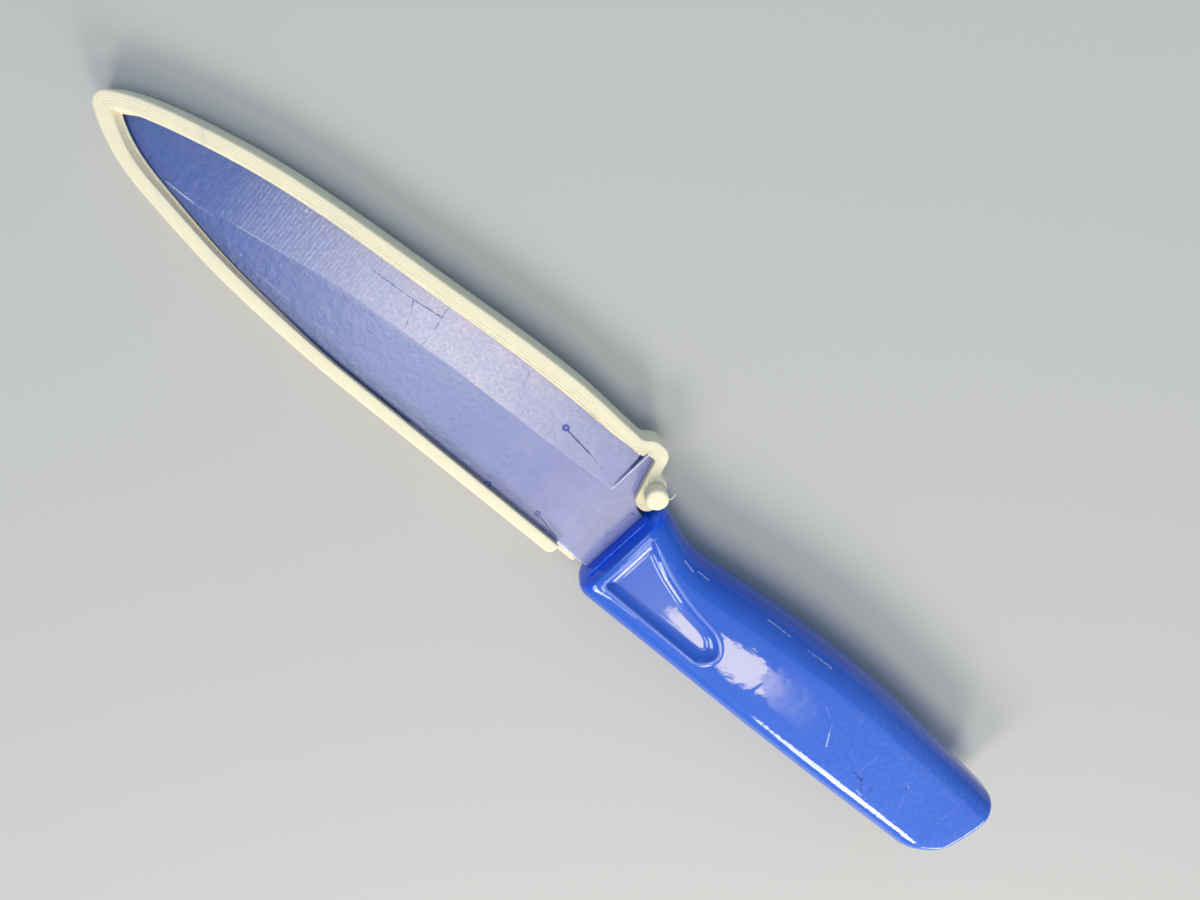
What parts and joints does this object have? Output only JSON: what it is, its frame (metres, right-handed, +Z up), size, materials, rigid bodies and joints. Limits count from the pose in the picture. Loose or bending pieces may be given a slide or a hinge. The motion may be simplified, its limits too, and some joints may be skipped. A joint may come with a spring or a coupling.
{
  "type": "knife blade guard",
  "caption": "Slim two-rail guard clipped round a small kitchen knife's blade, with a springy edge rail, heel hook and release post; the knife draws out lengthwise.",
  "frame": {"origin": "middle of the bounding box, on the surface that the closed set rests on", "axes": "+X from the guard's nose to the handle's butt, +Y towards the cutting edge, +Z up off the table"},
  "size_m": [0.1967, 0.0286, 0.0146],
  "materials": {
    "guard_plastic": "satin printed plastic",
    "blade_coating": "satin non-stick coating",
    "handle_plastic": "gloss"
  },
  "bodies": {
    "guard_frame": {"spine_rail": "guard_plastic"},
    "edge_arm": {"edge_rail": "guard_plastic", "heel_hook": "guard_plastic", "release_post": "guard_plastic"},
    "knife": {"blade": "blade_coating", "handle": "handle_plastic"}
  },
  "joints": [
    {"name": "arm_flex", "type": "hinge", "parent": "guard_frame", "child": "edge_arm", "pos_m": [-0.08118, 0.00461, 0.00294], "axis": [-0.0319, 0, 0.9995], "range_deg": [0, 7], "stiffness_Nm_per_rad": 0.5},
    {"name": "knife_draw", "type": "slide", "parent": "guard_frame", "child": "knife", "axis": [0.9995, 0, 0.0319], "range_m": [0, 0.11], "deforming": ["heel_hook"]}
  ]
}
